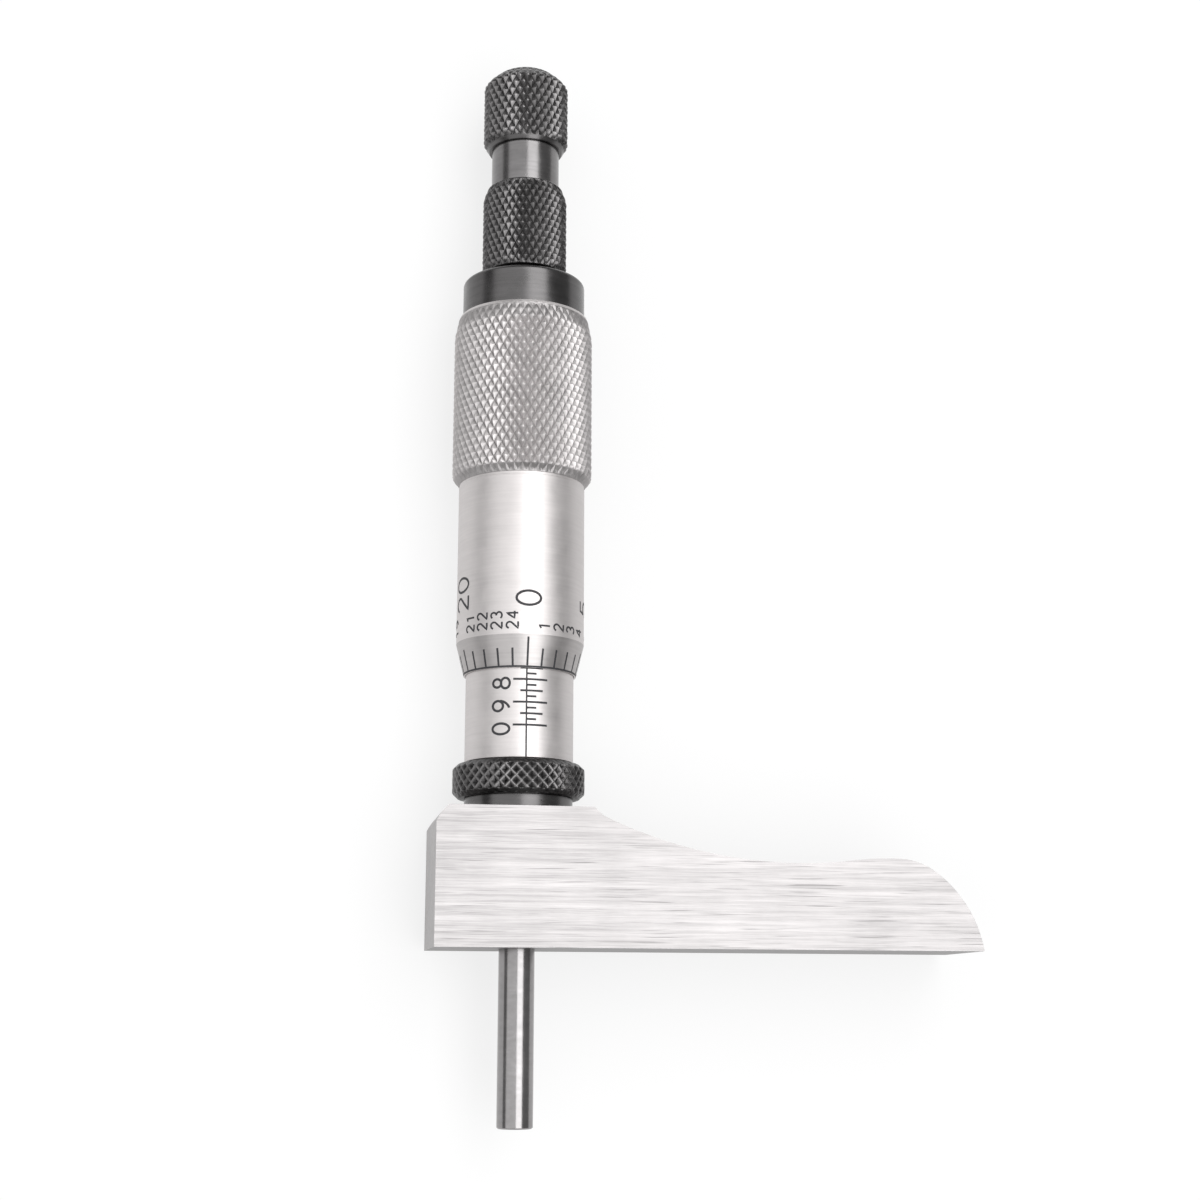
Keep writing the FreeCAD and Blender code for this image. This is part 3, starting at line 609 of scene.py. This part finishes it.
ring = Lathe(LOCK_ROUND * 2 * LOCK_FINE)
ring.band(LOCK_LOW_BORE, LOCK_LOW)
ring.band(LOCK_FACE, LOCK_LOW)
ring.band(LOCK_EDGE - 0.05 * MM, LOCK_LOW)
knurl(ring, [
    (LOCK_EDGE, LOCK_LOW + 0.02 * MM),
    (LOCK, LOCK_LOW + 0.55 * MM),
    (LOCK, LOCK_HIGH - 0.55 * MM),
    (LOCK_EDGE, LOCK_HIGH - 0.02 * MM),
], 6, LOCK_FINE, 0.34 * MM, 1, 0.12, 0.3, True)
ring.band(LOCK_EDGE - 0.07 * MM, LOCK_HIGH)
ring.band(LOCK_FACE, LOCK_HIGH)
ring.band(LOCK_HIGH_BORE, LOCK_HIGH)
ring.close()
piece = ring.build("lock_nut_knurled", [BLACK, BLACK_KNURL])
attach(piece, "lock_nut")
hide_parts("lock_nut")


# ---------------------------------------------------------------- thimble cap

ROUND = 0.5 * MM
ROUND_STEPS = 8
CAP_BORE = 3.19 * MM

ring = Lathe(128)
ring.band(CAP_BORE, CAP_LOW)
ring.band(CAP_RADIUS, CAP_LOW)
for step in range(ROUND_STEPS + 1):
    angle = math.pi / 2 * step / ROUND_STEPS
    ring.band(CAP_RADIUS - ROUND * (1 - math.cos(angle)), CAP_HIGH - ROUND * (1 - math.sin(angle)))
ring.band(CAP_BORE, CAP_HIGH)
ring.close()
piece = ring.build("thimble_cap_ring", [DARK])
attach(piece, "thimble")
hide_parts("thimble_cap")


# ---------------------------------------------------------------- ratchet sleeve

RATCHET_LOW, RATCHET_HIGH, RATCHET = span("ratchet_sleeve")
RATCHET_STEM_BORE = 3.46 * MM
RATCHET_BORE = 4.1 * MM
RATCHET_WEB_HIGH = RATCHET_LOW + 0.9 * MM
RATCHET_ROUND, RATCHET_FINE = 34, 4

knob = Lathe(RATCHET_ROUND * 2 * RATCHET_FINE)
knob.band(RATCHET_STEM_BORE, RATCHET_LOW)
knob.band(4.5 * MM, RATCHET_LOW)
knob.band(RATCHET - 0.4 * MM, RATCHET_LOW + 0.05 * MM)
knurl(knob, [
    (RATCHET - 0.34 * MM, RATCHET_LOW + 0.12 * MM),
    (RATCHET, RATCHET_LOW + 0.8 * MM),
    (RATCHET, RATCHET_HIGH - 1.4 * MM),
    (RATCHET - 0.5 * MM, RATCHET_HIGH - 0.12 * MM),
], 13, RATCHET_FINE, 0.28 * MM, 1, 0.16, 0.6)
knob.band(RATCHET - 0.6 * MM, RATCHET_HIGH)
knob.band(RATCHET_BORE, RATCHET_HIGH)
knob.band(RATCHET_BORE, RATCHET_WEB_HIGH)
knob.band(RATCHET_STEM_BORE, RATCHET_WEB_HIGH)
knob.close()
piece = knob.build("ratchet_sleeve_knurled", [DARK, DARK_KNURL])
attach(piece, "ratchet")
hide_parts("ratchet_sleeve")


# ---------------------------------------------------------------- rod cap

TOP_LOW, TOP_HIGH, TOP = span("rod_cap")
TOP_BORE = 3.66 * MM
TOP_ROUND, TOP_FINE = 32, 5
DOME = 2.2 * MM
DOME_STEPS = 12
DOME_TOP = TOP_HIGH - 0.4 * MM
DOME_LOW = DOME_TOP - DOME
DOME_EDGE = TOP - 0.3 * MM
dome_radius = (DOME_EDGE ** 2 + DOME ** 2) / (2 * DOME)
dome_angle = math.asin(DOME_EDGE / dome_radius)


def dome(share):
    """Point of the domed top, from its edge at 0 to the middle at 1."""
    angle = dome_angle * (1 - share)
    return dome_radius * math.sin(angle), DOME_TOP - dome_radius * (1 - math.cos(angle))


cap = Lathe(TOP_ROUND * 2 * TOP_FINE)
cap.band(TOP_BORE, TOP_LOW)
cap.band(TOP - 0.72 * MM, TOP_LOW)
cap.band(TOP - 0.5 * MM, TOP_LOW + 0.3 * MM)
knurl(cap, [
    (TOP - 0.45 * MM, TOP_LOW + 0.4 * MM),
    (TOP, TOP_LOW + 1.0 * MM),
    (TOP, DOME_LOW - 0.3 * MM),
    (DOME_EDGE, DOME_LOW),
    dome(0.1),
    dome(0.2),
    dome(0.3),
], 11, TOP_FINE, 0.28 * MM, 1, 0.16, 0.7)
for step in range(4, DOME_STEPS):
    cap.band(*dome(step / DOME_STEPS))
cap.band(0, DOME_TOP)
inner_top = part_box("cap_washer")[1][1] + 0.05 * MM
cap.last = None
cap.band(0, inner_top)
cap.band(TOP_BORE, inner_top)
cap.close()
piece = cap.build("rod_cap_knurled", [DARK, DARK_KNURL])
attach(piece, "rod_cap")
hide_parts("rod_cap")


# ---------------------------------------------------------------- floor, light and camera

SIDE = 3.0                       # half the floor's side
LIGHT_ALONG = 0.04               # middle of the lamps along the screw's axis
floor_height = LOW_START[2]
mesh = bpy.data.meshes.new("floor")
corners = ((-SIDE, -SIDE), (SIDE, -SIDE), (SIDE, SIDE), (-SIDE, SIDE))
mesh.from_pydata([(x, y, floor_height) for x, y in corners], [], [(0, 1, 2, 3)])
mesh.materials.append(floor_finish())
floor = add_object("floor", mesh)


def softbox(name, azimuth_low, azimuth_high, distance, length, level):
    """Area light over the object, between two angles from straight up, of one radiance."""
    middle = math.radians((azimuth_low + azimuth_high) / 2)
    width = 2 * distance * math.tan(math.radians((azimuth_high - azimuth_low) / 2))
    data = bpy.data.lights.new(name, "AREA")
    data.shape = "RECTANGLE"
    data.size = width
    data.size_y = length
    data.energy = level * math.pi * width * length
    light = add_object(name, data)
    light.matrix_world = Matrix.Rotation(middle, 4, "Y") @ Matrix.Translation((0, LIGHT_ALONG, distance))


softbox("key_light", -1, 37, 0.55, 1.3, 3.0)
softbox("left_fill", -67, -4, 0.50, 1.0, 1.0)

world = bpy.data.worlds.new("studio")
bpy.context.scene.world = world
world.use_nodes = True
background = world.node_tree.nodes["Background"]
background.inputs["Color"].default_value = (1, 1, 1, 1)
background.inputs["Strength"].default_value = 0.26

camera_data = bpy.data.cameras.new("camera")
camera_data.lens = 57
camera_data.sensor_width = 36
camera_data.clip_start = 0.01
camera = add_object("camera", camera_data)
camera.matrix_world = (
    Matrix.Translation((-0.02739, -0.00743, 0.21095))
    @ Matrix.Rotation(math.radians(-9.85), 4, "Y")
    @ Matrix.Rotation(math.radians(12.43), 4, "X")
    @ Matrix.Rotation(math.radians(0.12), 4, "Z")
)
bpy.context.scene.camera = camera
bpy.context.scene.view_settings.view_transform = "Standard"
